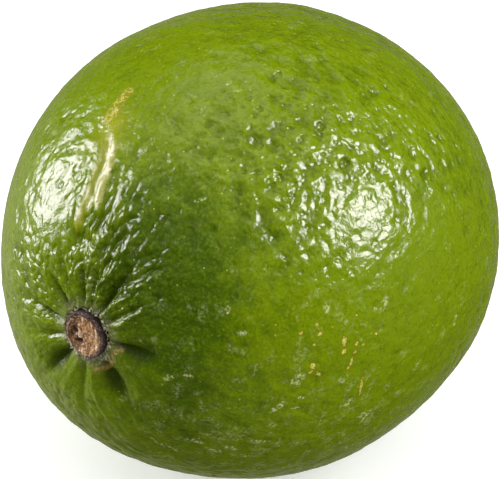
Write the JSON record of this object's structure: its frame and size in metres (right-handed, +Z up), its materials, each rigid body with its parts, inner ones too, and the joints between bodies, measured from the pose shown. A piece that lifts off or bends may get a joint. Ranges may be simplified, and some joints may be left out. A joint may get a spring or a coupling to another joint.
{
  "type": "lime",
  "caption": "Whole green lime lying on its side: pitted glossy peel, creased lobes round a dry woody stem button, and a low nipple at the blossom end.",
  "frame": {"origin": "middle of the flat spot that the fruit rests on", "axes": "+Z up; +Y along the fruit's axis from the stem end to the blossom end; +X across it"},
  "size_m": [0.0526, 0.0595, 0.0518],
  "materials": {
    "peel": "waxy citrus peel, glossy over close oil-gland pits, mid green turning yellow-green towards the blossom end",
    "stem_wood": "dry broken wood, matt, tan with dark cracks and a dark bark rim"
  },
  "bodies": {
    "root": {"fruit": "peel", "stem_button": "stem_wood"}
  },
  "joints": []
}
